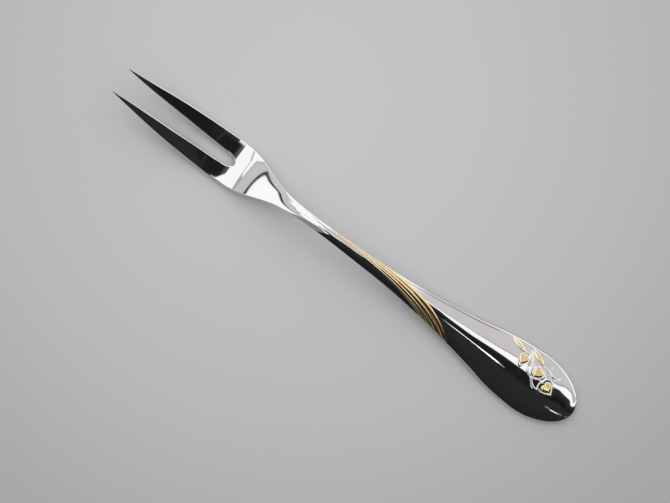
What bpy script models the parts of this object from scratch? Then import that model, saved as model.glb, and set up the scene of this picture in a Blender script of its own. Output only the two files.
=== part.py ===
"""Two-tine meat fork: one mirror-polished steel blank with gilt ribs and a gilt leaf sprig.

Metres, +Z up, lying as on a table. X runs from the handle end to the tine tips, and the origin is on
the table under the middle of the fork. Stations are measured from the handle end.
"""

import math

import bmesh
import bpy
import numpy as np

# Lengths along the fork, which add up to its whole length
END_LENGTH = 0.0205
FLANK_LENGTH = 0.0965
SHOULDER_LENGTH = 0.0430
TINE_LENGTH = 0.0500

# Widths seen from above
HANDLE_WIDTH = 0.0243
NECK_WIDTH = 0.0047
HEAD_WIDTH = 0.01855
TIP_SPACING = 0.0103
SLOT_WIDTH = 0.0042
SLOT_LENGTH = 0.0523
SLOT_END_LENGTH = 0.0045

# Heights of the edge's underside above the table, and how much is ground flat where the fork rests
END_LIFT = 0.0009
CREST_HEIGHT = 0.0094
TIP_HEIGHT = 0.0115
REST_GRIND = 0.00015

# Thickness at the edge, how far the rounded top stands above it and the rounded underside hangs below it
HANDLE_EDGE = 0.0011
NECK_EDGE = 0.0022
HEAD_EDGE = 0.0020
TIP_EDGE = 0.0006
HANDLE_CROWN = 0.0022
NECK_CROWN = 0.0009
HEAD_CROWN = 0.00025
HANDLE_BELLY = 0.0006
NECK_BELLY = 0.0004
END_ROUNDING = 1.4

# How far in from the outline the edges are rounded, and the largest share of a tine's width
END_NOSE = 0.0005
HANDLE_NOSE = 0.0003
TINE_NOSE = 0.0006
TINE_NOSE_SHARE = 0.2

# Gilt ribs: they start on the handle's +Y edge, sweep over it and run out along the neck's -Y edge
RIB_COUNT = 4
RIB_START = 0.0550
RIB_STEP = 0.0037
RIB_END = 0.1140
RIB_FIRST_SETTLE = 0.0950
RIB_LAST_SETTLE = 0.1180
RIB_RISE = 0.00035
RIB_KEPT = 0.89
RIB_EDGE_SHARE = 0.96
RIB_OUT_SHARE = 0.92
RIB_OUT_STEP = 0.12
RIB_BEND = 1.9
RIB_EASE = 1.25
RIB_ROUNDING = 0.05
RIB_FADE = 0.35

# Gilt leaves and hearts, each placed by station, share of the handle's half width and turn in degrees
LEAF_LENGTH = 0.0076
LEAF_WIDTH = 0.0020
LEAF_RISE = 0.00020
LEAF_PLACES = [(0.0195, -0.65, -24), (0.0281, -0.69, -15)]
HEART_LENGTH = 0.0042
HEART_WIDTH = 0.0040
HEART_RISE = 0.00038
HEART_TILT = 0.5
HEART_ROUNDING = 0.6
HEART_PLACES = [(0.0272, -0.445, 97), (0.0198, -0.335, 67), (0.0135, -0.135, 160)]

# Struck stems, which are part of the steel, as lines through stations and shares of the half width
STEM_WIDTH = 0.0006
STEM_RISE = 0.00025
STEM_ROOT = 0.00030
STEM_ROUNDING = 0.1
STEM_LINES = [
    [(0.0156, -0.14), (0.0173, -0.18), (0.0197, -0.16), (0.0213, -0.13)],
    [(0.0207, -0.11), (0.0189, 0.03), (0.0173, 0.09), (0.0160, 0.07)],
    [(0.0213, -0.15), (0.0229, -0.49), (0.0252, -0.74)],
    [(0.0217, -0.14), (0.0239, -0.47), (0.0255, -0.67), (0.0274, -0.69)],
    [(0.0189, -0.66), (0.0173, -0.64), (0.0146, -0.58), (0.0122, -0.61)],
]

# The gilt lies this far off the steel
GILT_CLEARANCE = 0.00006

# Points closer than this are one
MERGE_DISTANCE = 2e-6

# Mesh steps
HANDLE_STEPS = 30
SHOULDER_STEPS = 18
SLOT_STEPS = 8
TINE_STEPS = 16
END_STEPS = 9
HALF_WIDTH_STEPS = 10
RIB_STEPS = 32
LEAF_STEPS = 14
HEART_STEPS = 24
STEM_STEPS = 12
TRIM_STEPS = 4

# Stations that follow from the lengths
NECK_AT = END_LENGTH + FLANK_LENGTH
HEAD_AT = NECK_AT + SHOULDER_LENGTH
LENGTH = HEAD_AT + TINE_LENGTH
SLOT_AT = LENGTH - SLOT_LENGTH
SLOT_RADIUS = SLOT_WIDTH / 2
SLOT_END = SLOT_AT + SLOT_END_LENGTH


def smooth_curve(points):
    """The natural cubic spline through (station, value) points, as a function of the station."""
    x = np.array([point[0] for point in points], float)
    y = np.array([point[1] for point in points], float)
    step = np.diff(x)
    slope = np.diff(y) / step
    count = len(x)
    matrix = np.eye(count)
    right = np.zeros(count)
    for i in range(1, count - 1):
        matrix[i, i - 1 : i + 2] = step[i - 1], 2 * (step[i - 1] + step[i]), step[i]
        right[i] = 6 * (slope[i] - slope[i - 1])
    bend = np.linalg.solve(matrix, right)

    def value(at):
        i = min(max(int(np.searchsorted(x, at)) - 1, 0), count - 2)
        before, after = at - x[i], x[i + 1] - at
        cubic = (bend[i] * after**3 + bend[i + 1] * before**3) / (6 * step[i])
        start = (y[i] / step[i] - bend[i] * step[i] / 6) * after
        end = (y[i + 1] / step[i] - bend[i + 1] * step[i] / 6) * before
        return float(cubic + start + end)

    return value


def between(start, length, first, last, shape):
    """Points of a stretch: its shape holds (share of the length, share of the change from first to last)."""
    return [(start + t * length, first + f * (last - first)) for t, f in shape]


def half_width_curve():
    """Half the width from the widest place of the handle to the tine tips."""
    handle, neck, head, tip = HANDLE_WIDTH / 2, NECK_WIDTH / 2, HEAD_WIDTH / 2, TIP_SPACING / 2
    flank = [(0, 0), (0.13, 0.107), (0.28, 0.4), (0.42, 0.633), (0.57, 0.826), (0.72, 0.927), (0.87, 0.973)]
    shoulder = [(0, 0), (0.255, 0.037), (0.458, 0.2), (0.633, 0.549), (0.798, 0.88)]
    tine = [(0, 0), (0.247, 0.073), (0.528, 0.279), (0.76, 0.595), (1, 1)]
    return smooth_curve(
        between(END_LENGTH, FLANK_LENGTH, handle, neck, flank)
        + between(NECK_AT, SHOULDER_LENGTH, neck, head, shoulder)
        + between(HEAD_AT, TINE_LENGTH, head, tip, tine)
    )


def slot_curve():
    """Half the width of the slot between the tines, past its rounded end."""
    flare = [(0, 0), (0.26, 0.185), (0.4, 0.3), (0.55, 0.41), (0.85, 0.72), (1, 1)]
    return smooth_curve(between(SLOT_END, LENGTH - SLOT_END, SLOT_RADIUS, TIP_SPACING / 2, flare))


def underside_curve():
    """Height of the edge's underside, before the resting places are ground flat."""
    lift = [(0, 1), (0.15, 0.32), (0.28, 0.07), (0.42, 0)]
    rise = [(0, 0), (0.12, 0.02), (0.275, 0.07), (0.43, 0.185), (0.585, 0.4), (0.74, 0.69), (0.895, 0.93)]
    fall = [(0, 0), (0.15, 0.045), (0.3, 0.175), (0.58, 0.565), (0.79, 0.87), (0.94, 0.995)]
    tine = [(0.04, 0), (0.14, 0.035), (0.3, 0.14), (0.6, 0.45), (0.8, 0.71), (1, 1)]
    return smooth_curve(
        between(0, END_LENGTH, HANDLE_BELLY, HANDLE_BELLY + END_LIFT, lift)
        + between(END_LENGTH, FLANK_LENGTH, HANDLE_BELLY, CREST_HEIGHT, rise)
        + between(NECK_AT, SHOULDER_LENGTH, CREST_HEIGHT, 0, fall)
        + between(HEAD_AT, TINE_LENGTH, 0, TIP_HEIGHT, tine)
    )


def edge_curve():
    """Thickness at the edge."""
    return smooth_curve(
        [(0, HANDLE_EDGE), (END_LENGTH + 0.2 * FLANK_LENGTH, HANDLE_EDGE), (NECK_AT, NECK_EDGE)]
        + [(HEAD_AT, HEAD_EDGE), (HEAD_AT + 0.5 * TINE_LENGTH, HEAD_EDGE), (LENGTH, TIP_EDGE)]
    )


def crown_curve():
    """Height of the rounded top above the edge."""
    flank = [(0, 0), (0.12, 0), (0.28, 0.23), (0.43, 0.54), (0.62, 0.78), (0.82, 0.9), (1, 1)]
    fade = [(0.16, 0.65), (0.31, 0.4), (0.5, 0.28)]
    return smooth_curve(
        [(0, HANDLE_CROWN)]
        + between(END_LENGTH, FLANK_LENGTH, HANDLE_CROWN, NECK_CROWN, flank)
        + between(NECK_AT, SHOULDER_LENGTH, 0, NECK_CROWN, fade)
        + [(HEAD_AT, HEAD_CROWN), (LENGTH, 0)]
    )


def belly_curve():
    """Depth of the rounded underside below the edge."""
    return smooth_curve(
        [(0, HANDLE_BELLY), (END_LENGTH + 0.4 * FLANK_LENGTH, HANDLE_BELLY), (NECK_AT, NECK_BELLY)]
        + [(NECK_AT + 0.75 * SHOULDER_LENGTH, 0), (HEAD_AT, 0), (LENGTH, 0)]
    )


def nose_curve():
    """How far in from the outline the edges are rounded."""
    return smooth_curve(
        [(0, END_NOSE), (END_LENGTH, END_NOSE)]
        + between(END_LENGTH, FLANK_LENGTH, END_NOSE, HANDLE_NOSE, [(0.15, 0.1), (0.35, 1), (1, 1)])
        + between(NECK_AT, SHOULDER_LENGTH, HANDLE_NOSE, TINE_NOSE, [(0.5, 0.1), (1, 1)])
        + [(LENGTH, TINE_NOSE)]
    )


flank_half_width = half_width_curve()
slot_flare = slot_curve()
underside = underside_curve()
edge_thickness = edge_curve()
crown_height = crown_curve()
belly_depth = belly_curve()
edge_nose = nose_curve()


def outer(x):
    """Half the width of the fork at a station: an elliptical end, then the flank curve."""
    if x < END_LENGTH:
        return HANDLE_WIDTH / 2 * math.sqrt(max(0, 1 - (1 - x / END_LENGTH) ** 2))
    return flank_half_width(x)


def inner(x):
    """Half the width of the slot at a station, 0 before the slot."""
    if x <= SLOT_AT:
        return 0.0
    if x < SLOT_END:
        return SLOT_RADIUS * math.sqrt(max(0, 1 - ((SLOT_END - x) / SLOT_END_LENGTH) ** 2))
    return min(slot_flare(x), outer(x))


def nose_length(x):
    """How far in the edge is rounded at a station, less at the tines' tips."""
    if x < SLOT_END:
        return edge_nose(x)
    return max(min(edge_nose(x), TINE_NOSE_SHARE * (outer(x) - inner(x))), MERGE_DISTANCE)


def fullness(distance, nose):
    """Share of the edge thickness at a distance in from the outline: an ellipse, then 1."""
    return math.sqrt(max(0, 1 - (1 - min(max(distance / nose, 0), 1)) ** 2))


def from_slot_end(x, y):
    """Distance of a point of the plan from the half ellipse that ends the slot, close to true near it."""
    along, across = (x - SLOT_END) / SLOT_END_LENGTH, y / SLOT_RADIUS
    size = math.hypot(along, across)
    return (size - 1) * size / math.hypot(along / SLOT_END_LENGTH, across / SLOT_RADIUS)


def distances(x, y):
    """Distances of a point of the plan from the outer outline and from the slot."""
    step = 1e-5
    slope = (outer(x + step) - outer(max(x - step, 0))) / (2 * step)
    from_outline = (outer(x) - abs(y)) / math.hypot(1, slope)
    if x < SLOT_END:
        return from_outline, from_slot_end(x, y)
    return from_outline, abs(y) - inner(x)


def roundness(x, y):
    """Share of the crown and of the belly at a point of the plan, less towards the handle's round end."""
    wide = max(outer(x), MERGE_DISTANCE)
    near_end = (wide / (HANDLE_WIDTH / 2)) ** END_ROUNDING if x < END_LENGTH else 1
    return near_end * max(0, 1 - (y / wide) ** 2)


def surface(x, y, side):
    """Height of the steel at a point of the plan, on the top (side 1) or on the underside (side -1)."""
    from_outline, from_slot = distances(x, y)
    nose = nose_length(x)
    beside_slot = fullness(from_slot, nose)
    half = edge_thickness(x) / 2 * fullness(from_outline, nose) * beside_slot
    middle = underside(x) - REST_GRIND + edge_thickness(x) / 2
    share = roundness(x, y) * beside_slot
    if side > 0:
        return middle + half + crown_height(x) * share
    return max(middle - half - belly_depth(x) * share, 0)


def blank_stations():
    """Stations of the cross sections, closer together at the handle end and at the slot's end."""
    end = [END_LENGTH * (1 - math.cos(math.pi / 2 * i / END_STEPS)) for i in range(END_STEPS)]
    lip = SLOT_AT - TINE_NOSE
    handle = np.linspace(END_LENGTH, NECK_AT, HANDLE_STEPS, endpoint=False)
    shoulder = np.linspace(NECK_AT, lip, SHOULDER_STEPS, endpoint=False)
    edge = [lip, lip + 0.5 * TINE_NOSE, lip + 0.85 * TINE_NOSE]
    slot = SLOT_END - SLOT_END_LENGTH * np.cos(np.linspace(0, math.pi / 2, SLOT_STEPS, endpoint=False))
    tine = SLOT_END + (LENGTH - SLOT_END) * np.linspace(0, 1, TINE_STEPS + 1) ** 0.9
    return [*end, *handle, *shoulder, *edge, *slot, *tine]


def sheet(bm, columns, rows, place):
    """A grid whose corner (u, v) = (0, 0)..(1, 1) is moved to place(u, v)."""
    made = bmesh.ops.create_grid(bm, x_segments=columns, y_segments=rows, size=0.5)
    for vert in made["verts"]:
        vert.co = place(vert.co.x + 0.5, vert.co.y + 0.5)


def shell(columns, rows, top, bottom):
    """A closed body between two sheets that meet at their outlines."""
    bm = bmesh.new()
    sheet(bm, columns, rows, top)
    sheet(bm, columns, rows, bottom)
    bmesh.ops.remove_doubles(bm, verts=bm.verts, dist=MERGE_DISTANCE)
    return bm


def finished(name, bm, material):
    """The bmesh as an object of the scene, facing outward."""
    bmesh.ops.remove_doubles(bm, verts=bm.verts, dist=MERGE_DISTANCE)
    bmesh.ops.dissolve_degenerate(bm, edges=bm.edges, dist=MERGE_DISTANCE)
    bmesh.ops.recalc_face_normals(bm, faces=bm.faces)
    mesh = bpy.data.meshes.new(name)
    bm.to_mesh(mesh)
    bm.free()
    mesh.shade_smooth()
    mesh.materials.append(material)
    obj = bpy.data.objects.new(name, mesh)
    bpy.context.scene.collection.objects.link(obj)
    return obj


def metal(name, colour, roughness):
    """A plain metal material."""
    material = bpy.data.materials.new(name)
    material.use_nodes = True
    shader = material.node_tree.nodes["Principled BSDF"]
    shader.inputs["Base Color"].default_value = (*colour, 1)
    shader.inputs["Metallic"].default_value = 1
    shader.inputs["Roughness"].default_value = roughness
    return material


def build_blank(material):
    """The steel: handle, neck, shoulders and both tines in one piece."""
    stations = blank_stations()
    columns = len(stations) - 1

    def half(side):
        def place(u, v):
            x = stations[round(u * columns)]
            across = 0.5 - 0.5 * math.cos(math.pi * v)
            y = inner(x) + (outer(x) - inner(x)) * across
            return x - LENGTH / 2, y, surface(x, y, side)

        return place

    bm = shell(columns, HALF_WIDTH_STEPS, half(1), half(-1))
    whole = bm.verts[:] + bm.edges[:] + bm.faces[:]
    bmesh.ops.mirror(bm, geom=whole, axis="Y", merge_dist=MERGE_DISTANCE)
    return finished("fork_blank", bm, material)


def trim(name, columns, plan, base, rise, material):
    """A low rounded body on the steel. Plan gives station, offset and share of the rise at (u, v)."""

    def bottom(u, v):
        x, y, _ = plan(u, v)
        return x - LENGTH / 2, y, surface(x, y, 1) + base

    def top(u, v):
        x, y, share = plan(u, v)
        return x - LENGTH / 2, y, surface(x, y, 1) + base + rise * share

    return finished(name, shell(columns, TRIM_STEPS, top, bottom), material)


def rounded(share):
    """Height share across a bead, from 0 at share 0 through 1 at 0.5 to 0 at share 1."""
    return math.sqrt(max(0, 1 - (2 * share - 1) ** 2))


def ended(share, length):
    """Height share along a bead, rounded off over a length at both ends."""
    return fullness(min(share, 1 - share), length)


def rib_plan(number):
    """Plan of one gilt rib: ribs are neighbours in one fan of curves."""

    def plan(u, v):
        fade = fullness(1 - u, RIB_FADE)
        place = number + (v - 0.5) * RIB_KEPT * fade
        start = RIB_START + place * RIB_STEP
        settle = RIB_FIRST_SETTLE + (RIB_LAST_SETTLE - RIB_FIRST_SETTLE) * place / (RIB_COUNT - 1)
        out = -RIB_OUT_SHARE + RIB_OUT_STEP * place
        x = RIB_END - (RIB_END - start) * (1 - u) ** RIB_EASE
        left = max(0, (settle - x) / (settle - start))
        share = out + (RIB_EDGE_SHARE - out) * left**RIB_BEND
        return x, share * outer(x), rounded(v) * fade * fullness(u, RIB_ROUNDING)

    return plan


def turned(along, off, degrees):
    """An offset in the plan, turned from the X axis."""
    turn = math.radians(degrees)
    return along * math.cos(turn) - off * math.sin(turn), along * math.sin(turn) + off * math.cos(turn)


def leaf_plan(x, share, degrees):
    """Plan of a long pointed leaf from its stalk end."""

    def plan(u, v):
        half = LEAF_WIDTH / 2 * math.sin(math.pi * u**0.8) ** 0.8
        dx, dy = turned(LEAF_LENGTH * u, (2 * v - 1) * half, degrees)
        return x + dx, share * outer(x) + dy, 4 * v * (1 - v) * math.sin(math.pi * u) ** 0.5

    return plan


def heart_plan(x, share, degrees):
    """Plan of a heart-shaped leaf about its middle, by the usual heart curve, which is 29 units long."""

    def plan(u, v):
        angle = 2 * math.pi * u
        high = 13 * math.cos(angle) - 5 * math.cos(2 * angle) - 2 * math.cos(3 * angle) - math.cos(4 * angle)
        along = -(high + 2.5) / 29 * HEART_LENGTH
        off = HEART_WIDTH / 2 * math.sin(angle) ** 3
        dx, dy = turned(v * along, v * off, degrees)
        level = 1 + HEART_TILT * dy / (HEART_LENGTH / 2)
        return x + dx, share * outer(x) + dy, level * fullness(1 - v, HEART_ROUNDING)

    return plan


def stem_plan(points):
    """Plan of a stem along a smooth line through (station, share of the half width) points."""
    station = smooth_curve([(i, x) for i, (x, _) in enumerate(points)])
    share = smooth_curve([(i, y) for i, (_, y) in enumerate(points)])
    last = len(points) - 1

    def centre(t):
        x = station(t)
        return np.array((x, share(t) * outer(x)))

    def plan(u, v):
        step = 0.01
        way = centre(u * last + step) - centre(u * last - step)
        across = np.array((-way[1], way[0])) / np.linalg.norm(way)
        x, y = centre(u * last) + across * (v - 0.5) * STEM_WIDTH
        return x, y, rounded(v) * ended(u, STEM_ROUNDING)

    return plan


def strike_stems(blank, material):
    """Raises the sprig's stems out of the steel."""
    for number, line in enumerate(STEM_LINES, 1):
        rise = STEM_ROOT + STEM_RISE
        stem = trim(f"stem_{number}", STEM_STEPS, stem_plan(line), -STEM_ROOT, rise, material)
        stem.hide_render = True
        stem.display_type = "WIRE"
        union = blank.modifiers.new(stem.name, "BOOLEAN")
        union.operation = "UNION"
        union.solver = "EXACT"
        union.object = stem


def build_ribs(material):
    """The fan of gilt ribs."""
    for number in range(RIB_COUNT):
        trim(f"gilt_rib_{number + 1}", RIB_STEPS, rib_plan(number), GILT_CLEARANCE, RIB_RISE, material)


def build_sprig(material):
    """The gilt leaves and hearts of the sprig."""
    for number, place in enumerate(LEAF_PLACES, 1):
        trim(f"gilt_leaf_{number}", LEAF_STEPS, leaf_plan(*place), GILT_CLEARANCE, LEAF_RISE, material)
    for number, place in enumerate(HEART_PLACES, 1):
        trim(f"gilt_heart_{number}", HEART_STEPS, heart_plan(*place), GILT_CLEARANCE, HEART_RISE, material)


def clear_scene():
    """Removes the start-up scene's objects."""
    for obj in list(bpy.data.objects):
        bpy.data.objects.remove(obj)


clear_scene()
steel = metal("polished_steel", (0.78, 0.78, 0.80), 0.05)
gilt = metal("gold_plate", (0.83, 0.62, 0.25), 0.10)
fork_blank = build_blank(steel)
strike_stems(fork_blank, steel)
build_ribs(gilt)
build_sprig(gilt)
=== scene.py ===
"""Looks of the two-tine meat fork: mirror-polished steel with gilt ribs and a gilt leaf sprig.

Metres, +Z up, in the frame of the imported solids. Stations are measured from the handle end.
"""

import math

import bmesh
import bpy
import numpy as np
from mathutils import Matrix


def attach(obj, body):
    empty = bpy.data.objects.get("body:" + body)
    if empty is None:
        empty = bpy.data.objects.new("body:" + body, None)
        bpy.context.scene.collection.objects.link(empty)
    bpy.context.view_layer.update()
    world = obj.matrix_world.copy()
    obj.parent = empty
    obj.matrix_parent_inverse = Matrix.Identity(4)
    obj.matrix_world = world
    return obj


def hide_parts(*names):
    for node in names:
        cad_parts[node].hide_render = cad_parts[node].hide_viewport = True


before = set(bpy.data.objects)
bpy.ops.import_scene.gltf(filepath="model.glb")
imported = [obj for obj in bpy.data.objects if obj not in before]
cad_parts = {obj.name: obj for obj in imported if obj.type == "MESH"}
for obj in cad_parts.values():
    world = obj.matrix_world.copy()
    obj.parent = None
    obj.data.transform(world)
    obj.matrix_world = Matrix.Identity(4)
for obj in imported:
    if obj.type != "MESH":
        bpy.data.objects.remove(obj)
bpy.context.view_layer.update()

# Lengths along the fork, as in the solids
END_LENGTH = 0.0205
FLANK_LENGTH = 0.0965
SHOULDER_LENGTH = 0.0430
TINE_LENGTH = 0.0500

# Widths seen from above
HANDLE_WIDTH = 0.0243
NECK_WIDTH = 0.0047
HEAD_WIDTH = 0.01855
TIP_SPACING = 0.0103
SLOT_WIDTH = 0.0042
SLOT_LENGTH = 0.0523
SLOT_END_LENGTH = 0.0045

# Heights of the edge's underside above the table, and how much is ground flat where the fork rests
END_LIFT = 0.0009
CREST_HEIGHT = 0.0094
TIP_HEIGHT = 0.0115
REST_GRIND = 0.00015

# Thickness at the edge, how far the rounded top stands above it and the rounded underside hangs below it
HANDLE_EDGE = 0.0011
NECK_EDGE = 0.0022
HEAD_EDGE = 0.0020
TIP_EDGE = 0.0006
HANDLE_CROWN = 0.0022
NECK_CROWN = 0.0009
HEAD_CROWN = 0.00025
HANDLE_BELLY = 0.0006
NECK_BELLY = 0.0004
END_ROUNDING = 1.4

# How far in from the outline the edges are rounded, and the largest share of a tine's width. The handle's
# end is rounded more than in the solids.
END_NOSE = 0.0008
HANDLE_NOSE = 0.0003
TINE_NOSE = 0.0006
TINE_NOSE_SHARE = 0.2

# Gilt ribs: they start on the handle's +Y edge, sweep over it and run out along the neck's -Y edge
RIB_COUNT = 4
RIB_START = 0.0550
RIB_STEP = 0.0037
RIB_END = 0.1140
RIB_FIRST_SETTLE = 0.0950
RIB_LAST_SETTLE = 0.1180
RIB_RISE = 0.00035
RIB_KEPT = 0.89
RIB_EDGE_SHARE = 0.96
RIB_OUT_SHARE = 0.92
RIB_OUT_STEP = 0.12
RIB_BEND = 1.9
RIB_EASE = 1.25
RIB_ROUNDING = 0.05
RIB_FADE = 0.35

# Ribs in the picture only: they start in a short tip, and get lower along the neck, where their gold is
# painted paler as a reflection of the bright light
RIB_TIP = 0.01
RIB_FULL = 1.25
RIB_LEAST = 0.05
RIB_PAINTED_REFLECTION_FROM = 0.074
RIB_PAINTED_REFLECTION_TO = 0.104

# Gilt leaves and hearts, each placed by station, share of the handle's half width and turn in degrees
LEAF_LENGTH = 0.0076
LEAF_WIDTH = 0.0020
LEAF_RISE = 0.00020
LEAF_PLACES = [(0.0195, -0.65, -24), (0.0281, -0.69, -15)]
HEART_LENGTH = 0.0042
HEART_WIDTH = 0.0040
HEART_RISE = 0.00038
HEART_TILT = 0.5
HEART_ROUNDING = 0.6
HEART_PLACES = [(0.0272, -0.445, 97), (0.0198, -0.335, 67), (0.0135, -0.135, 160)]
GILT_CLEARANCE = 0.00006

# Points closer than this are one
MERGE_DISTANCE = 1e-6

# Where the top carries struck lines, up to an offset
SPRIG_FROM = 0.0090
SPRIG_TO = 0.0375
SPRIG_SIDE = 0.0040

# How finely pieces are divided: stations and rows of the blank, points of struck lines, grids of the gilt
TURN_STATIONS = 30
TINE_STATIONS = 70
SPRIG_STEP = 0.00018
PLAIN_STEP = 0.0006
SLOT_STEP = 0.0002
SPRIG_ROWS = 84
PLAIN_ROWS = 36
UNDERSIDE_ROWS = 18
STEM_POINTS = 50
RIM_POINTS = 90
RIB_GRID = (160, 14)
LEAF_GRID = (70, 24)
HEART_GRID = (96, 20)

# Struck stems, each a width, a rise and a line through (station, offset) points in millimetres, and the share
# of a stem's length over which each end tapers
STEMS = [
    (0.7, 0.22, [(15.9, -1.9), (16.7, -2.2), (17.6, -2.5), (18.4, -2.2), (19.4, -1.75), (20.6, -1.5)]),
    (0.7, 0.25, [(21.2, -1.8), (20.3, -0.95), (19.1, 0.25), (17.5, 1.05), (16.4, 0.9), (16.0, 0.4)]),
    (0.7, 0.22, [(21.3, -1.5), (22.2, -3.9), (23.1, -5.9), (24.4, -7.8), (25.5, -9.1), (26.2, -9.6)]),
    (0.6, 0.22, [(21.7, -1.6), (23.4, -3.0), (24.5, -4.6), (24.9, -6.4), (25.9, -8.0), (27.8, -8.4)]),
    (0.7, 0.20, [(13.3, -6.4), (14.8, -6.6), (16.7, -7.3), (18.7, -7.9)]),
    (0.7, 0.06, [(15.9, -8.6), (16.2, -9.0), (16.5, -9.4)]),
    (1.1, 0.05, [(13.1, -6.1), (12.3, -7.0), (11.6, -7.9)]),
]
STEM_TAPER = 0.2

# Struck rims round the hearts: their width, then the size of each as a multiple of its heart's, and its rise
RIM_WIDTH = 0.0008
RIMS = [(1.28, 0.00002), (1.28, 0.00005), (1.42, 0.00022)]

# The photograph's view: straight down, with the fork lying across the frame
VIEW_TURN = math.radians(-143.62)
VIEW_CENTRE = (0.0027, 0.0040)
VIEW_WIDTH = 0.25125
VIEW_HEIGHT = 1.0
SENSOR_WIDTH = 36.0

# Colours of the studio, and the dark front's tones by how far down the picture they lie
WHITE = (1.20, 1.20, 1.20)
CLOTH = (0.71, 0.675, 0.675)
FOLD = (0.50, 0.48, 0.48)
EDGE = (0.28, 0.27, 0.27)
SEAM = (0.03, 0.03, 0.03)
BARREL = (0.11, 0.11, 0.11)
OPENING = (0.014, 0.014, 0.014)
ROOM = (0.15, 0.15, 0.15)
BEYOND = (0.5, 0.5, 0.5)
FRONT_TONES = [
    (0, 0.03), (0.05, 0.02), (0.12, 0.011), (0.18, 0.012),
    (0.2, 0.026), (0.4, 0.024), (0.8, 0.012),
]

# The floor, with a painted pool of light: its brightest place right of and up from the view's middle, and its
# tones by the distance from it
FLOOR_SIZE = 4.0
FLOOR_BRIGHTEST = (-0.010, 0.058)
FLOOR_PAINTED_FALLOFF = [(0, 0.575), (0.0625, 0.553), (0.125, 0.494), (0.1875, 0.403), (0.25, 0.36)]

# A weak soft lamp: right of the fork's middle in the photograph, up from it and above the table
SOFT_LAMP_PLACE = (0.35, 0.45, 0.9)
SOFT_LAMP_SIZE = 0.8
SOFT_LAMP_POWER = 0.6

# Small lamps seen as thin lights along the handle: right of the view's middle, up from it, size, power, and
# the station that each narrow beam points to
GLINTS = [
    (0.066, -0.0718, 0.0105, 0.000004, 0.036),
    (0.0702, -0.0772, 0.006, 0.00000034, 0.030),
    (0.1035, -0.1665, 0.008, 0.0000011, 0.00675),
    (0.0965, -0.1565, 0.012, 0.0000005, 0.0095),
]
GLINT_HEIGHT = 0.26
GLINT_SPREAD = math.radians(15)

# Stations that follow from the lengths
NECK_AT = END_LENGTH + FLANK_LENGTH
HEAD_AT = NECK_AT + SHOULDER_LENGTH
LENGTH = HEAD_AT + TINE_LENGTH
SLOT_AT = LENGTH - SLOT_LENGTH
SLOT_RADIUS = SLOT_WIDTH / 2
SLOT_END = SLOT_AT + SLOT_END_LENGTH


def smooth_curve(points):
    """The natural cubic spline through (station, value) points, as a function of the station."""
    x, y = np.array(points, float).T
    step = np.diff(x)
    slope = np.diff(y) / step
    count = len(x)
    matrix = np.eye(count)
    right = np.zeros(count)
    for i in range(1, count - 1):
        matrix[i, i - 1 : i + 2] = step[i - 1], 2 * (step[i - 1] + step[i]), step[i]
        right[i] = 6 * (slope[i] - slope[i - 1])
    bend = np.linalg.solve(matrix, right)

    def value(at):
        i = np.clip(np.searchsorted(x, at) - 1, 0, count - 2)
        before, after = at - x[i], x[i + 1] - at
        cubic = (bend[i] * after**3 + bend[i + 1] * before**3) / (6 * step[i])
        start = (y[i] / step[i] - bend[i] * step[i] / 6) * after
        end = (y[i + 1] / step[i] - bend[i + 1] * step[i] / 6) * before
        return cubic + start + end

    return value


def between(start, length, first, last, shape):
    """Points of a stretch: its shape holds (share of the length, share of the change from first to last)."""
    return [(start + t * length, first + f * (last - first)) for t, f in shape]


def half_width_curve():
    """Half the width from the widest place of the handle to the tine tips."""
    handle, neck, head, tip = HANDLE_WIDTH / 2, NECK_WIDTH / 2, HEAD_WIDTH / 2, TIP_SPACING / 2
    flank = [(0, 0), (0.13, 0.107), (0.28, 0.4), (0.42, 0.633), (0.57, 0.826), (0.72, 0.927), (0.87, 0.973)]
    shoulder = [(0, 0), (0.255, 0.037), (0.458, 0.2), (0.633, 0.549), (0.798, 0.88)]
    tine = [(0, 0), (0.247, 0.073), (0.528, 0.279), (0.76, 0.595), (1, 1)]
    return smooth_curve(
        between(END_LENGTH, FLANK_LENGTH, handle, neck, flank)
        + between(NECK_AT, SHOULDER_LENGTH, neck, head, shoulder)
        + between(HEAD_AT, TINE_LENGTH, head, tip, tine)
    )


def slot_curve():
    """Half the width of the slot between the tines, past its rounded end."""
    flare = [(0, 0), (0.26, 0.185), (0.4, 0.3), (0.55, 0.41), (0.85, 0.72), (1, 1)]
    return smooth_curve(between(SLOT_END, LENGTH - SLOT_END, SLOT_RADIUS, TIP_SPACING / 2, flare))


def underside_curve():
    """Height of the edge's underside, before the resting places are ground flat."""
    lift = [(0, 1), (0.15, 0.32), (0.28, 0.07), (0.42, 0)]
    rise = [(0, 0), (0.12, 0.02), (0.275, 0.07), (0.43, 0.185), (0.585, 0.4), (0.74, 0.69), (0.895, 0.93)]
    fall = [(0, 0), (0.15, 0.045), (0.3, 0.175), (0.58, 0.565), (0.79, 0.87), (0.94, 0.995)]
    tine = [(0.04, 0), (0.14, 0.035), (0.3, 0.14), (0.6, 0.45), (0.8, 0.71), (1, 1)]
    return smooth_curve(
        between(0, END_LENGTH, HANDLE_BELLY, HANDLE_BELLY + END_LIFT, lift)
        + between(END_LENGTH, FLANK_LENGTH, HANDLE_BELLY, CREST_HEIGHT, rise)
        + between(NECK_AT, SHOULDER_LENGTH, CREST_HEIGHT, 0, fall)
        + between(HEAD_AT, TINE_LENGTH, 0, TIP_HEIGHT, tine)
    )


def edge_curve():
    """Thickness at the edge."""
    return smooth_curve(
        [(0, HANDLE_EDGE), (END_LENGTH + 0.2 * FLANK_LENGTH, HANDLE_EDGE), (NECK_AT, NECK_EDGE)]
        + [(HEAD_AT, HEAD_EDGE), (HEAD_AT + 0.5 * TINE_LENGTH, HEAD_EDGE), (LENGTH, TIP_EDGE)]
    )


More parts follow.
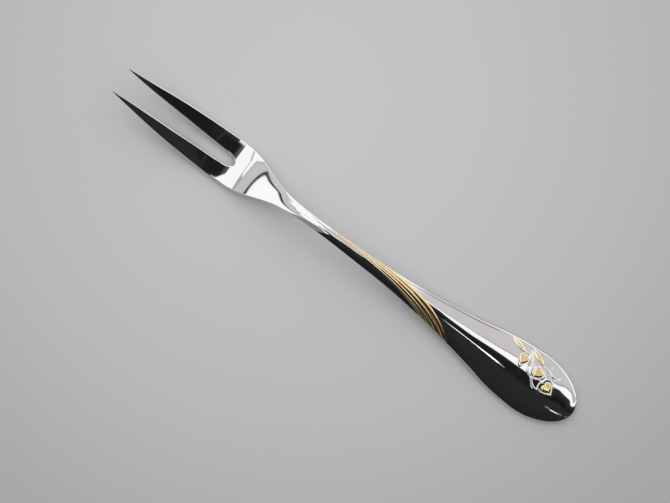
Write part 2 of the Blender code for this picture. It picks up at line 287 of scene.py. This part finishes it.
def crown_curve():
    """Height of the rounded top above the edge."""
    flank = [(0, 0), (0.12, 0), (0.28, 0.23), (0.43, 0.54), (0.62, 0.78), (0.82, 0.9), (1, 1)]
    fade = [(0.16, 0.65), (0.31, 0.4), (0.5, 0.28)]
    return smooth_curve(
        [(0, HANDLE_CROWN)]
        + between(END_LENGTH, FLANK_LENGTH, HANDLE_CROWN, NECK_CROWN, flank)
        + between(NECK_AT, SHOULDER_LENGTH, 0, NECK_CROWN, fade)
        + [(HEAD_AT, HEAD_CROWN), (LENGTH, 0)]
    )


def belly_curve():
    """Depth of the rounded underside below the edge."""
    return smooth_curve(
        [(0, HANDLE_BELLY), (END_LENGTH + 0.4 * FLANK_LENGTH, HANDLE_BELLY), (NECK_AT, NECK_BELLY)]
        + [(NECK_AT + 0.75 * SHOULDER_LENGTH, 0), (HEAD_AT, 0), (LENGTH, 0)]
    )


def nose_curve():
    """How far in from the outline the edges are rounded."""
    return smooth_curve(
        [(0, END_NOSE), (END_LENGTH, END_NOSE)]
        + between(END_LENGTH, FLANK_LENGTH, END_NOSE, HANDLE_NOSE, [(0.15, 0.1), (0.35, 1), (1, 1)])
        + between(NECK_AT, SHOULDER_LENGTH, HANDLE_NOSE, TINE_NOSE, [(0.5, 0.1), (1, 1)])
        + [(LENGTH, TINE_NOSE)]
    )


flank_half_width = half_width_curve()
slot_flare = slot_curve()
underside = underside_curve()
edge_thickness = edge_curve()
crown_height = crown_curve()
belly_depth = belly_curve()
edge_nose = nose_curve()


def outer(x):
    """Half the width of the fork at a station: an elliptical end, then the flank curve."""
    round_end = HANDLE_WIDTH / 2 * np.sqrt(np.clip(1 - (1 - x / END_LENGTH) ** 2, 0, 1))
    return np.where(x < END_LENGTH, round_end, flank_half_width(x))


def inner(x):
    """Half the width of the slot at a station, 0 before the slot."""
    round_end = SLOT_RADIUS * np.sqrt(np.clip(1 - ((SLOT_END - x) / SLOT_END_LENGTH) ** 2, 0, 1))
    flare = np.minimum(slot_flare(x), outer(x))
    return np.where(x <= SLOT_AT, 0, np.where(x < SLOT_END, round_end, flare))


def nose_length(x):
    """How far in the edge is rounded at a station, less at the tines' tips."""
    on_tine = np.clip(TINE_NOSE_SHARE * (outer(x) - inner(x)), MERGE_DISTANCE, edge_nose(x))
    return np.where(x < SLOT_END, edge_nose(x), on_tine)


def fullness(distance, nose):
    """Share of the edge thickness at a distance in from the outline: an ellipse, then 1."""
    return np.sqrt(np.clip(1 - (1 - np.clip(distance / nose, 0, 1)) ** 2, 0, 1))


def from_slot_end(x, y):
    """Distances of points of the plan from the half ellipse that ends the slot, close to true near it."""
    along, across = (x - SLOT_END) / SLOT_END_LENGTH, y / SLOT_RADIUS
    size = np.hypot(along, across)
    steepness = np.maximum(np.hypot(along / SLOT_END_LENGTH, across / SLOT_RADIUS), MERGE_DISTANCE)
    return (size - 1) * size / steepness


def distances(x, y):
    """Distances of points of the plan from the outer outline and from the slot."""
    step = 1e-5
    slope = (outer(x + step) - outer(np.maximum(x - step, 0))) / (2 * step)
    from_outline = (outer(x) - np.abs(y)) / np.hypot(1, slope)
    return from_outline, np.where(x < SLOT_END, from_slot_end(x, y), np.abs(y) - inner(x))


def roundness(x, y):
    """Share of the crown and of the belly at points of the plan, less towards the handle's round end."""
    wide = np.maximum(outer(x), MERGE_DISTANCE)
    near_end = np.where(x < END_LENGTH, (wide / (HANDLE_WIDTH / 2)) ** END_ROUNDING, 1)
    return near_end * np.maximum(0, 1 - (y / wide) ** 2)


def surface(x, y, side):
    """Height of the plain steel at points of the plan, on the top (side 1) or on the underside (side -1)."""
    from_outline, from_slot = distances(x, y)
    nose = nose_length(x)
    beside_slot = fullness(from_slot, nose)
    half = edge_thickness(x) / 2 * fullness(from_outline, nose) * beside_slot
    middle = underside(x) - REST_GRIND + edge_thickness(x) / 2
    share = roundness(x, y) * beside_slot
    if side > 0:
        return middle + half + crown_height(x) * share
    return np.maximum(middle - half - belly_depth(x) * share, 0)


def bead(distance, half_width):
    """Share of the rise of a struck line, from 1 on the line down to 0 at its half width."""
    return np.clip(1 - (distance / half_width) ** 2, 0, 1) ** 1.5


def struck_lines():
    """The stems and the rims round the hearts, each as half width, rises, stations and offsets."""
    for width, rise, points in STEMS:
        places = np.array(points) / 1000
        along = np.linspace(0, len(points) - 1, STEM_POINTS)
        station = smooth_curve(list(enumerate(places[:, 0])))(along)
        offset = smooth_curve(list(enumerate(places[:, 1])))(along)
        taper = fullness(np.minimum(along, along[-1] - along) / along[-1], STEM_TAPER)
        yield width / 2000, rise / 1000 * taper, station, offset
    around = np.linspace(0, 1, RIM_POINTS)
    for place, (scale, rise) in zip(HEART_PLACES, RIMS):
        station, offset, _ = heart_plan(*place)(around, scale)
        yield RIM_WIDTH / 2, rise, station, offset


def relief(x, y):
    """Height that the struck lines add to the top."""
    added = np.zeros_like(x)
    for half_width, rises, station, offset in struck_lines():
        far = np.hypot(x[:, None] - station, y[:, None] - offset)
        added = np.maximum(added, (bead(far, half_width) * rises).max(axis=1))
    return added


def struck_top(x, y):
    """Height of the top with its relief."""
    height = surface(x, y, 1)
    near = (x > SPRIG_FROM) & (x < SPRIG_TO) & (y < SPRIG_SIDE)
    height[near] += relief(x[near], y[near])
    return height


def sheet(bm, columns, rows, place):
    """A grid whose corner (u, v) = (0, 0)..(1, 1) is moved to place(u, v)."""
    made = bmesh.ops.create_grid(bm, x_segments=columns, y_segments=rows, size=0.5)
    share = np.array([vert.co[:2] for vert in made["verts"]]) + 0.5
    x, y, z = place(share[:, 0], share[:, 1])
    for vert, spot in zip(made["verts"], zip(x - LENGTH / 2, y, z)):
        vert.co = spot


def finished(name, bm, material, node):
    """The bmesh as a smooth piece that stands for a node of the solids."""
    bmesh.ops.remove_doubles(bm, verts=bm.verts, dist=MERGE_DISTANCE)
    bmesh.ops.dissolve_degenerate(bm, edges=bm.edges, dist=MERGE_DISTANCE / 10)
    bmesh.ops.recalc_face_normals(bm, faces=bm.faces)
    mesh = bpy.data.meshes.new(name)
    bm.to_mesh(mesh)
    bm.free()
    mesh.shade_smooth()
    mesh.materials.append(material)
    piece = bpy.data.objects.new(name, mesh)
    bpy.context.scene.collection.objects.link(piece)
    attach(piece, "root")
    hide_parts(node)
    return piece


def spread(start, stop, step):
    """Stations from start to just before stop, about a step apart."""
    return np.linspace(start, stop, round((stop - start) / step), endpoint=False)


def blank_stations():
    """Stations of the cross sections, closest under the sprig, at the handle end and round the slot's end."""
    near_slot = SLOT_AT - 2 * TINE_NOSE
    turn = np.linspace(0, math.pi / 2, TURN_STATIONS, endpoint=False)
    return np.concatenate([
        SPRIG_FROM * (1 - np.cos(turn)),
        spread(SPRIG_FROM, SPRIG_TO, SPRIG_STEP),
        spread(SPRIG_TO, near_slot, PLAIN_STEP),
        spread(near_slot, SLOT_AT, SLOT_STEP),
        SLOT_AT + SLOT_END_LENGTH * (1 - np.cos(turn)),
        SLOT_END + (LENGTH - SLOT_END) * np.linspace(0, 1, TINE_STATIONS) ** 0.9,
    ])


def build_blank(material):
    """The steel, with handle, neck, shoulders, both tines and the struck stems in one piece."""
    stations = blank_stations()
    columns = len(stations) - 1

    def half(height, y_side):
        def place(u, v):
            x = stations[np.rint(u * columns).astype(int)]
            across = 0.5 - 0.5 * np.cos(math.pi * v)
            y = y_side * (inner(x) + (outer(x) - inner(x)) * across)
            return x, y, height(x, y)

        return place

    def underneath(x, y):
        return surface(x, y, -1)

    bm = bmesh.new()
    sheet(bm, columns, SPRIG_ROWS, half(struck_top, -1))
    sheet(bm, columns, PLAIN_ROWS, half(struck_top, 1))
    sheet(bm, columns, UNDERSIDE_ROWS, half(underneath, -1))
    sheet(bm, columns, UNDERSIDE_ROWS, half(underneath, 1))
    finished("struck_blank", bm, material, "fork_blank")


def gilt(name, columns, rows, plan, rise, material, node):
    """A low body of gold on the steel. Plan gives station, offset and share of the rise at (u, v)."""

    def bottom(u, v):
        x, y, _ = plan(u, v)
        return x, y, surface(x, y, 1) + GILT_CLEARANCE

    def top(u, v):
        x, y, share = plan(u, v)
        return x, y, surface(x, y, 1) + GILT_CLEARANCE + rise * share

    bm = bmesh.new()
    sheet(bm, columns, rows, top)
    sheet(bm, columns, rows, bottom)
    finished(name, bm, material, node)


def rounded(share):
    """Height share across a bead, from 0 at share 0 through 1 at 0.5 to 0 at share 1."""
    return np.sqrt(np.clip(1 - (2 * share - 1) ** 2, 0, 1))


def rib_plan(number):
    """Plan of one gilt rib from the handle's edge on: ribs are neighbours in one fan of curves."""

    def plan(u, v):
        fade = fullness(1 - u, RIB_FADE)
        place = number + (v - 0.5) * RIB_KEPT * fade * fullness(u, RIB_TIP)
        start = RIB_START + place * RIB_STEP
        settle = RIB_FIRST_SETTLE + (RIB_LAST_SETTLE - RIB_FIRST_SETTLE) * place / (RIB_COUNT - 1)
        out = -RIB_OUT_SHARE + RIB_OUT_STEP * place
        x = RIB_END - (RIB_END - start) * (1 - u) ** RIB_EASE
        left = np.maximum(0, (settle - x) / (settle - start))
        share = out + (RIB_EDGE_SHARE - out) * left**RIB_BEND
        high = np.clip(RIB_FULL * (1 - u) ** 2, RIB_LEAST, 1) * fade
        return x, share * outer(x), rounded(v) * high * fullness(u, RIB_ROUNDING)

    return plan


def turned(along, off, degrees):
    """An offset in the plan, turned from the X axis."""
    turn = math.radians(degrees)
    return along * math.cos(turn) - off * math.sin(turn), along * math.sin(turn) + off * math.cos(turn)


def leaf_plan(x, share, degrees):
    """Plan of a long pointed leaf from its stalk end."""

    def plan(u, v):
        half = LEAF_WIDTH / 2 * np.clip(np.sin(math.pi * u**0.8), 0, 1) ** 0.8
        dx, dy = turned(LEAF_LENGTH * u, (2 * v - 1) * half, degrees)
        return x + dx, share * outer(x) + dy, 4 * v * (1 - v) * np.clip(np.sin(math.pi * u), 0, 1) ** 0.5

    return plan


def heart_plan(x, share, degrees):
    """Plan of a heart-shaped leaf about its middle, by a heart curve with a shallow notch.

    The curve is 25.3 units long with its middle at -2.1. Its points are even by the cosine of the angle.
    """

    def plan(u, v):
        half_turn = np.arccos(np.clip(1 - 4 * np.minimum(u, 1 - u), -1, 1))
        angle = np.where(u < 0.5, half_turn, 2 * math.pi - half_turn)
        high = 13 * np.cos(angle) - 3 * np.cos(2 * angle) - 1.5 * np.cos(3 * angle) - 0.25 * np.cos(4 * angle)
        along = -(high + 2.1) / 25.3 * HEART_LENGTH
        off = HEART_WIDTH / 2 * np.sin(angle) ** 3
        dx, dy = turned(v * along, v * off, degrees)
        level = 1 + HEART_TILT * dy / (HEART_LENGTH / 2)
        return x + dx, share * outer(x) + dy, level * fullness(1 - v, HEART_ROUNDING)

    return plan


def build_gilt(rib_gold, leaf_gold, heart_gold):
    """The fan of ribs, the leaves and the hearts."""
    for i in range(RIB_COUNT):
        gilt(f"gold_rib_{i + 1}", *RIB_GRID, rib_plan(i), RIB_RISE, rib_gold, f"gilt_rib_{i + 1}")
    for i, place in enumerate(LEAF_PLACES, 1):
        gilt(f"gold_leaf_{i}", *LEAF_GRID, leaf_plan(*place), LEAF_RISE, leaf_gold, f"gilt_leaf_{i}")
    for i, place in enumerate(HEART_PLACES, 1):
        gilt(f"gold_heart_{i}", *HEART_GRID, heart_plan(*place), HEART_RISE, heart_gold, f"gilt_heart_{i}")


def put(tree, socket, value):
    """Links a socket to another node's output, or sets it to a plain value."""
    if isinstance(value, bpy.types.NodeSocket):
        tree.links.new(value, socket)
    else:
        socket.default_value = value


def node(tree, kind, settings=(), **inputs):
    """A node with its settings and inputs, which are named with _ for a space."""
    made = tree.nodes.new(kind)
    for name, value in dict(settings).items():
        setattr(made, name, value)
    for name, value in inputs.items():
        put(tree, made.inputs[name.replace("_", " ")], value)
    return made


def maths(tree, operation, *values):
    """A Math node's output."""
    made = node(tree, "ShaderNodeMath", {"operation": operation})
    for socket, value in zip(made.inputs, values):
        put(tree, socket, value)
    return made.outputs[0]


def ramp(tree, value, stops):
    """Colours at (place, grey or colour) stops along a value."""
    made = node(tree, "ShaderNodeValToRGB", Fac=value)
    elements = made.color_ramp.elements
    while len(elements) < len(stops):
        elements.new(0.5)
    for element, (place, colour) in zip(elements, stops):
        element.position = place
        element.color = (*colour, 1) if isinstance(colour, tuple) else (colour, colour, colour, 1)
    return made.outputs["Color"]


def span(tree, value, start, end, low=0.0, high=1.0):
    """A value that goes smoothly from low to high as the input goes from start to end."""
    made = node(tree, "ShaderNodeMapRange", {"interpolation_type": "SMOOTHSTEP"}, Value=value)
    made.inputs["From Min"].default_value = start
    made.inputs["From Max"].default_value = end
    made.inputs["To Min"].default_value = low
    made.inputs["To Max"].default_value = high
    return made.outputs["Result"]


def mixed(tree, below, share, above):
    """A colour that goes from one to another as the share goes from 0 to 1."""
    mix = node(tree, "ShaderNodeMix", {"data_type": "RGBA"}, Factor=share)
    for socket, colour in ((mix.inputs[6], below), (mix.inputs[7], above)):
        put(tree, socket, (*colour, 1) if isinstance(colour, tuple) else colour)
    return mix.outputs[2]


def noise(tree, scale, stretch=(1, 1, 1), detail=2.0):
    """Noise over the piece's own coordinates."""
    where = node(tree, "ShaderNodeTexCoord").outputs["Object"]
    spot = node(tree, "ShaderNodeMapping", Vector=where, Scale=stretch).outputs["Vector"]
    return node(tree, "ShaderNodeTexNoise", Vector=spot, Scale=scale, Detail=detail).outputs["Fac"]


def polished_metal(name, pale, deep, smooth, dull):
    """A polished metal with faint smears in its colour and gloss, and hairlines along the fork."""
    material = bpy.data.materials.new(name)
    material.use_nodes = True
    tree = material.node_tree
    shader = tree.nodes["Principled BSDF"]
    shader.inputs["Metallic"].default_value = 1.0
    smears = noise(tree, 90, detail=4.0)
    hairlines = noise(tree, 400, (0.03, 1, 1))
    put(tree, shader.inputs["Base Color"], ramp(tree, smears, [(0.35, deep), (0.65, pale)]))
    put(tree, shader.inputs["Roughness"], span(tree, noise(tree, 260), 0.3, 0.7, smooth, dull))
    bump = node(tree, "ShaderNodeBump", Strength=0.05, Distance=0.00001, Height=hairlines)
    put(tree, shader.inputs["Normal"], bump.outputs["Normal"])
    return material


def paint_reflection_towards_neck(material, colour):
    """Lets a material's colour change to another one along the ribs, towards the neck: a painted reflection
    of the bright light there.
    """
    tree = material.node_tree
    socket = tree.nodes["Principled BSDF"].inputs["Base Color"]
    where = node(tree, "ShaderNodeTexCoord").outputs["Object"]
    along = node(tree, "ShaderNodeSeparateXYZ", Vector=where).outputs["X"]
    share = span(tree, along, RIB_PAINTED_REFLECTION_FROM - LENGTH / 2, RIB_PAINTED_REFLECTION_TO - LENGTH / 2)
    put(tree, socket, mixed(tree, socket.links[0].from_socket, share, colour))


def floor_material():
    """A matt grey sheet with a painted pool of light: darker away from its brightest place."""
    material = bpy.data.materials.new("grey_sheet")
    material.use_nodes = True
    tree = material.node_tree
    shader = tree.nodes["Principled BSDF"]
    shader.inputs["Roughness"].default_value = 0.9
    shader.inputs["Specular IOR Level"].default_value = 0.1
    right, up = view_axes()
    where = node(tree, "ShaderNodeTexCoord").outputs["Object"]
    brightest = np.array((*VIEW_CENTRE, 0)) + FLOOR_BRIGHTEST[0] * right + FLOOR_BRIGHTEST[1] * up
    spot = node(tree, "ShaderNodeMapping", Vector=where, Location=tuple(-brightest)).outputs["Vector"]
    away = node(tree, "ShaderNodeVectorMath", {"operation": "LENGTH"})
    put(tree, away.inputs[0], spot)
    # Painted light falloff: the sheet's colour darkens away from its brightest place
    put(tree, shader.inputs["Base Color"], ramp(tree, away.outputs["Value"], FLOOR_PAINTED_FALLOFF))
    return material


def build_floor():
    """A wide floor under the fork."""
    bm = bmesh.new()
    bmesh.ops.create_grid(bm, x_segments=1, y_segments=1, size=FLOOR_SIZE)
    mesh = bpy.data.meshes.new("floor")
    bm.to_mesh(mesh)
    bm.free()
    mesh.materials.append(floor_material())
    floor = bpy.data.objects.new("floor", mesh)
    bpy.context.scene.collection.objects.link(floor)


def view_axes():
    """The photograph's right and up directions on the table."""
    right = np.array((math.cos(VIEW_TURN), math.sin(VIEW_TURN), 0))
    up = np.array((-math.sin(VIEW_TURN), math.cos(VIEW_TURN), 0))
    return right, up


class Studio:
    """What is seen round the fork, painted over directions.

    A direction is told by its sines p and q along the photograph's right and up: straight up is 0, 0.
    """

    def __init__(self, tree):
        self.tree = tree
        self.direction = node(tree, "ShaderNodeTexCoord").outputs["Generated"]
        right, up = view_axes()
        self.p = self.along(right)
        self.q = self.along(up)
        p_square = maths(tree, "MULTIPLY", self.p, self.p)
        q_square = maths(tree, "MULTIPLY", self.q, self.q)
        self.off_top = maths(tree, "SQRT", maths(tree, "ADD", p_square, q_square))
        self.seen = WHITE

    def along(self, axis):
        """The direction's sine along an axis."""
        made = node(self.tree, "ShaderNodeVectorMath", {"operation": "DOT_PRODUCT"})
        put(self.tree, made.inputs[0], self.direction)
        put(self.tree, made.inputs[1], tuple(axis))
        return made.outputs["Value"]

    def line(self, p_share, q_share):
        """A sum of shares of p and q."""
        q_part = maths(self.tree, "MULTIPLY", self.q, q_share)
        return maths(self.tree, "MULTIPLY_ADD", self.p, p_share, q_part)

    def steps(self, value, first, second):
        """The change by one smooth step less the change by another, each (start, end, height)."""
        up = span(self.tree, value, first[0], first[1], 0.0, first[2])
        down = span(self.tree, value, second[0], second[1], 0.0, second[2])
        return maths(self.tree, "SUBTRACT", up, down)

    def over(self, value, limit, soft=0.012):
        """Mask of the directions where a value is over a limit."""
        return span(self.tree, value, limit - soft / 2, limit + soft / 2)

    def under(self, value, limit, soft=0.012):
        """Mask of the directions where a value is under a limit."""
        return span(self.tree, value, limit - soft / 2, limit + soft / 2, 1.0, 0.0)

    def paint(self, colour, *masks):
        """Paints a colour over what is there, where all masks hold."""
        whole = masks[0]
        for mask in masks[1:]:
            whole = maths(self.tree, "MULTIPLY", whole, mask)
        self.seen = mixed(self.tree, self.seen, whole, colour)


def paint_back(studio):
    """Grey cloth behind the fork to the right with a fold along its foot, and white light above it."""
    tree, p, q, off_top = studio.tree, studio.p, studio.q, studio.off_top
    behind = studio.over(studio.line(1.0, -0.35), 0.10, 0.05)
    fold = maths(tree, "ADD", q, studio.steps(p, (0.27, 0.35, 0.05), (0.38, 0.47, 0.02)))
    studio.paint(FOLD, studio.over(fold, 0.17), behind)
    studio.paint(CLOTH, studio.over(fold, 0.2), behind)

    to_right = studio.over(p, 0.2)
    rim = maths(tree, "MULTIPLY_ADD", p, -0.5, off_top)
    low = maths(tree, "SUBTRACT", off_top, studio.steps(q, (0.42, 0.48, 0.14), (0.6, 0.66, 0.14)))
    studio.paint(EDGE, studio.over(rim, 0.475), studio.over(q, 0.5), to_right)
    studio.paint(CLOTH, studio.over(rim, 0.5), to_right)
    studio.paint(WHITE, studio.over(low, 0.72), studio.over(q, 0.2), to_right)


def paint_side(studio):
    """Grey cloth beside the fork to the left, hung from a hem, with a white panel behind a dark seam."""
    tree, p, q = studio.tree, studio.p, studio.q
    beside = studio.under(p, -0.2)
    slant = maths(tree, "MINIMUM", maths(tree, "MULTIPLY_ADD", p, 1.2, 0.707), 0.312)
    hem = maths(tree, "SUBTRACT", q, slant)
    studio.paint(FOLD, studio.over(hem, 0.0), beside)
    studio.paint(WHITE, studio.over(hem, 0.016), studio.over(q, 0.27), beside)

    arc = maths(tree, "MULTIPLY_ADD", q, -0.2, studio.off_top)
    bend = maths(tree, "ADD", span(tree, q, 0.35, 0.41, 0.365, 0.397), span(tree, q, 0.44, 0.49, 0.0, -0.085))
    corner = maths(tree, "ADD", p, bend)
    studio.paint(FOLD, studio.over(arc, 0.442), studio.under(corner, 0.012), beside)
    studio.paint(CLOTH, studio.over(arc, 0.454), studio.under(corner, 0.0), beside)
    studio.paint(SEAM, studio.over(arc, 0.532, 0.008), studio.under(q, 0.452, 0.008), beside)
    studio.paint(WHITE, studio.over(arc, 0.546, 0.008), studio.under(q, 0.434, 0.008), beside)
    studio.paint(EDGE, studio.under(q, -0.06, 0.16), beside)


def paint_front(studio):
    """The open dark front of the tent."""
    tones = ramp(studio.tree, maths(studio.tree, "MULTIPLY", studio.q, -1.0), FRONT_TONES)
    sill = studio.steps(studio.p, (0.27, 0.32, 0.025), (0.365, 0.39, 0.035))
    below = maths(studio.tree, "SUBTRACT", studio.q, sill)
    studio.paint(tones, studio.under(below, 0.035, 0.02), studio.over(studio.line(0.697, -0.717), 0.09, 0.03))


def paint_lens(studio):
    """The dark opening overhead for the camera, with its grey barrel."""
    studio.paint(OPENING, studio.under(studio.off_top, 0.178, 0.02), studio.over(studio.p, 0.07, 0.02))
    across = studio.line(1.0, -0.75)
    barrel = [
        studio.over(across, -0.195, 0.02),
        studio.over(studio.line(0.8, 0.6), -0.1, 0.015),
        studio.under(studio.line(0.6, 0.8), 0.102, 0.015),
        studio.under(studio.off_top, 0.2, 0.02),
    ]
    studio.paint(BARREL, *barrel)
    studio.paint(OPENING, *barrel, studio.over(across, -0.09, 0.1))


def paint_room(studio):
    """The dim room low round the tent, which the steel shows to other views than the photograph's."""
    p, q, off_top = studio.p, studio.q, studio.off_top
    ahead = studio.under(q, 0.0, 0.1)
    behind = studio.over(q, 0.0, 0.1)
    studio.paint(ROOM, studio.over(off_top, 0.87, 0.08), ahead, studio.over(p, -0.25, 0.2))
    studio.paint(ROOM, studio.over(off_top, 0.96, 0.06), behind, studio.under(p, 0.2, 0.2))


def light_tent():
    """The world: metal shows the painted studio, and plain daylight from the top right lights the floor."""
    world = bpy.data.worlds.new("light_tent")
    bpy.context.scene.world = world
    world.use_nodes = True
    tree = world.node_tree
    studio = Studio(tree)
    paint_back(studio)
    paint_side(studio)
    paint_front(studio)
    paint_lens(studio)
    paint_room(studio)
    light_path = node(tree, "ShaderNodeLightPath").outputs
    daylight = maths(tree, "MAXIMUM", maths(tree, "MULTIPLY_ADD", studio.line(0.6, 0.8), 0.8, 0.93), 0.05)
    seen = mixed(tree, daylight, light_path["Is Glossy Ray"], studio.seen)
    seen = mixed(tree, seen, light_path["Is Camera Ray"], BEYOND)
    put(tree, tree.nodes["Background"].inputs["Color"], seen)


def add_lamp():
    """A weak soft lamp behind the fork to the right, which the metal doesn't show."""
    right, up = view_axes()
    lamp = bpy.data.lights.new("soft_lamp", "AREA")
    lamp.size = SOFT_LAMP_SIZE
    lamp.energy = SOFT_LAMP_POWER
    holder = bpy.data.objects.new("soft_lamp", lamp)
    aside, ahead, above = SOFT_LAMP_PLACE
    holder.location = aside * right + ahead * up + np.array((0, 0, above))
    holder.rotation_euler = (-holder.location).to_track_quat("-Z", "Y").to_euler()
    holder.visible_glossy = False
    bpy.context.scene.collection.objects.link(holder)


def add_glints():
    """The small lamps, which only light the polished metal."""
    right, up = view_axes()
    for aside, ahead, size, energy, station in GLINTS:
        lamp = bpy.data.lights.new("glint", "AREA")
        lamp.shape = "DISK"
        lamp.size = size
        lamp.energy = energy
        lamp.spread = GLINT_SPREAD
        holder = bpy.data.objects.new("glint", lamp)
        holder.location = aside * right + ahead * up + np.array((*VIEW_CENTRE, GLINT_HEIGHT))
        back = holder.location.copy()
        back.x -= station - LENGTH / 2
        holder.rotation_euler = back.to_track_quat("Z", "Y").to_euler()
        holder.visible_diffuse = False
        bpy.context.scene.collection.objects.link(holder)


def add_camera():
    """The camera straight above the fork."""
    camera = bpy.data.cameras.new("camera")
    camera.sensor_width = SENSOR_WIDTH
    camera.lens = SENSOR_WIDTH * VIEW_HEIGHT / VIEW_WIDTH
    holder = bpy.data.objects.new("camera", camera)
    holder.location = (*VIEW_CENTRE, VIEW_HEIGHT)
    holder.rotation_euler = (0, 0, VIEW_TURN)
    bpy.context.scene.collection.objects.link(holder)
    bpy.context.scene.camera = holder


bpy.context.scene.view_settings.view_transform = "Standard"
steel = polished_metal("mirror_steel", (0.80, 0.80, 0.81), (0.76, 0.76, 0.77), 0.02, 0.05)
gold = polished_metal("gold_plating", (0.95, 0.77, 0.44), (0.87, 0.66, 0.31), 0.05, 0.10)
# Painted shade: the ribs get a darker copy of the gold plating, standing in for the dark front that they
# reflect
shaded_gold = polished_metal("deep_gold_plating", (0.95, 0.75, 0.41), (0.84, 0.61, 0.26), 0.10, 0.18)
# Painted highlight: the leaves get a paler copy of the gold plating, standing in for the white light that
# they reflect
highlighted_gold = polished_metal("pale_gold_plating", (0.97, 0.86, 0.62), (0.90, 0.76, 0.48), 0.06, 0.12)
# Painted reflection: the ribs' gold turns paler towards the neck
paint_reflection_towards_neck(shaded_gold, (0.96, 0.81, 0.55))
build_blank(steel)
build_gilt(shaded_gold, highlighted_gold, gold)
build_floor()
light_tent()
add_lamp()
add_glints()
add_camera()
